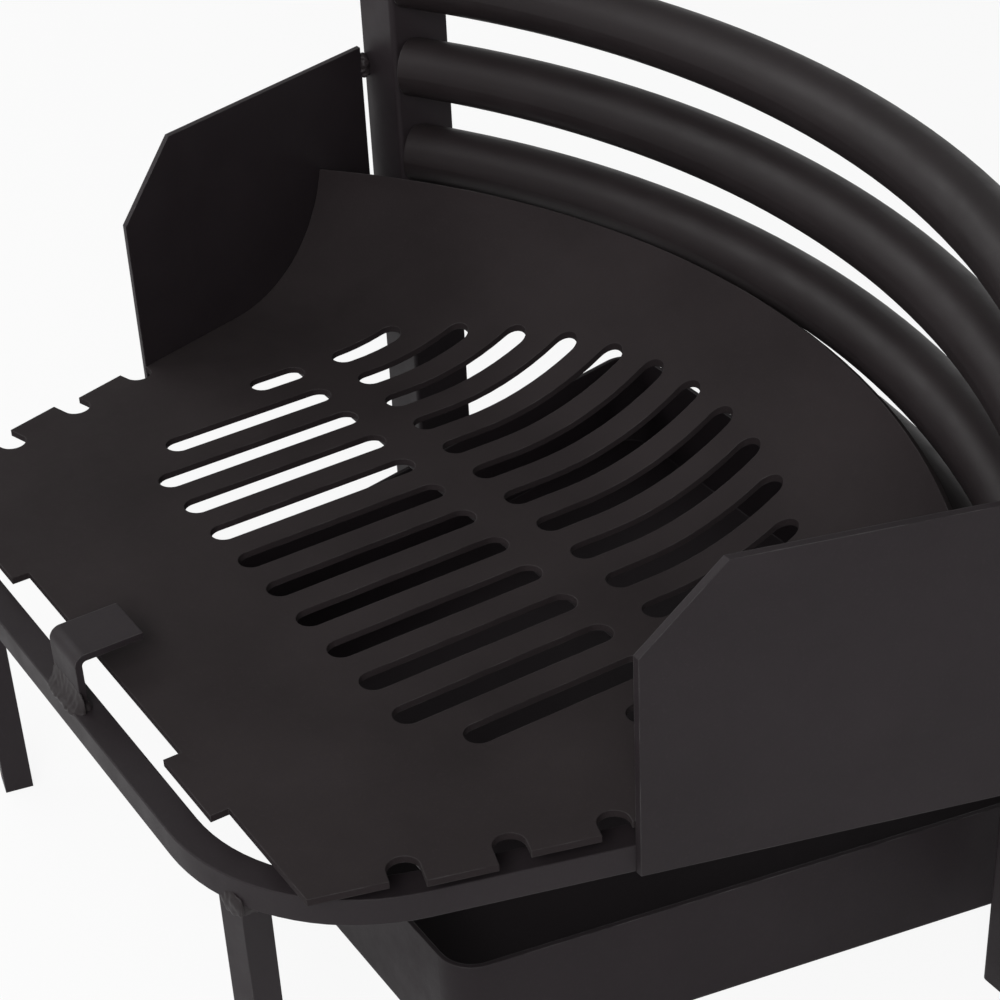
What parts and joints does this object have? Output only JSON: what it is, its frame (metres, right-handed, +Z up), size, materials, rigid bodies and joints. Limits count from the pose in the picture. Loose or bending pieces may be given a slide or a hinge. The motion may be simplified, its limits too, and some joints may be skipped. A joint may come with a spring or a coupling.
{
  "type": "fire grate",
  "caption": "Freestanding fire grate for an open hearth: slotted dished plate in a welded frame with splayed cheeks, bowed front tubes and a slide-out ash tray.",
  "frame": {"origin": "on the floor, on the plane of symmetry, under the front ends of the plate's rear slots", "axes": "+Z up from the floor, -Y towards the bowed front, +X to the right as seen from the front"},
  "size_m": [0.4964, 0.4165, 0.309],
  "materials": {
    "plate_paint": "matte heat-resistant black paint",
    "frame_paint": "satin heat-resistant black paint",
    "tray_paint": "matte black paint",
    "weld_paint": "weld bead painted black, rougher than the sheet"
  },
  "bodies": {
    "frame": {"base_rail": "frame_paint", "cheek_left": "frame_paint", "cheek_right": "frame_paint", "post_left": "frame_paint", "post_right": "frame_paint", "bow_tube_top": "frame_paint", "bow_tube_upper": "frame_paint", "bow_tube_lower": "frame_paint", "bow_tube_bottom": "frame_paint", "rear_strap": "frame_paint", "leg_rear_left": "frame_paint", "leg_rear_right": "frame_paint", "bearer_front": "frame_paint", "bearer_rear": "frame_paint", "strap_weld_rear": "weld_paint", "strap_weld_left": "weld_paint", "strap_weld_right": "weld_paint", "leg_weld_left": "weld_paint", "leg_weld_right": "weld_paint", "cheek_weld_left": "weld_paint", "cheek_weld_right": "weld_paint"},
    "plate": {"grate_plate": "plate_paint"},
    "tray": {"ash_tray": "tray_paint"}
  },
  "joints": [
    {"name": "tray_slide", "type": "slide", "parent": "frame", "child": "tray", "axis": [0, -1, 0], "range_m": [0, 0.23]},
    {"name": "plate_lift", "type": "slide", "parent": "frame", "child": "plate", "axis": [0, 0, 1], "range_m": [0, 0.008]}
  ]
}
